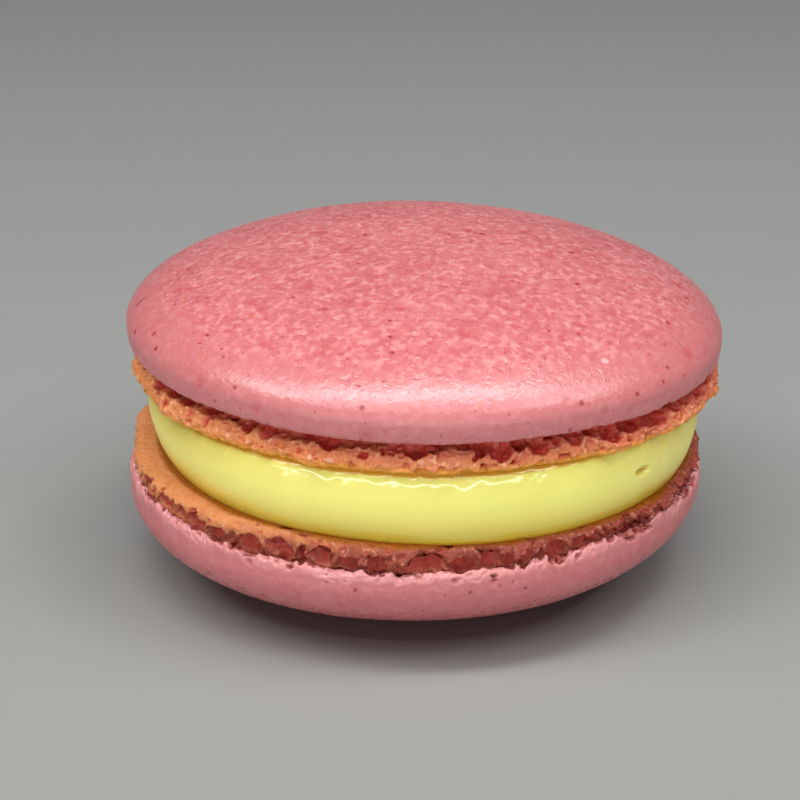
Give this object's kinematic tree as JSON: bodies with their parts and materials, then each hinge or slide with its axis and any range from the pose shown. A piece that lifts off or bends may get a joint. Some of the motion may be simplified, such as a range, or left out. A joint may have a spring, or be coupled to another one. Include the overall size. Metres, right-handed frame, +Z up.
{
  "type": "french macaron",
  "caption": "French macaron: two smooth domed almond meringue shells with ruffled, bubbly feet, base to base round a disc of smooth filling.",
  "frame": {"origin": "on the surface that the macaron stands on, under the middle of its bounding box", "axes": "+Z up, from the lower shell's flat resting spot to the upper shell's crown; -Y is the side where the small air pocket of the filling is seen at the right"},
  "size_m": [0.049, 0.0484, 0.0269],
  "materials": {
    "shell": "smooth baked meringue skin with a soft satin sheen, finely speckled; browned, porous foot",
    "filling": "smooth soft cream with a moist sheen"
  },
  "bodies": {
    "root": {"top_shell": "shell", "filling": "filling", "bottom_shell": "shell"}
  },
  "joints": []
}
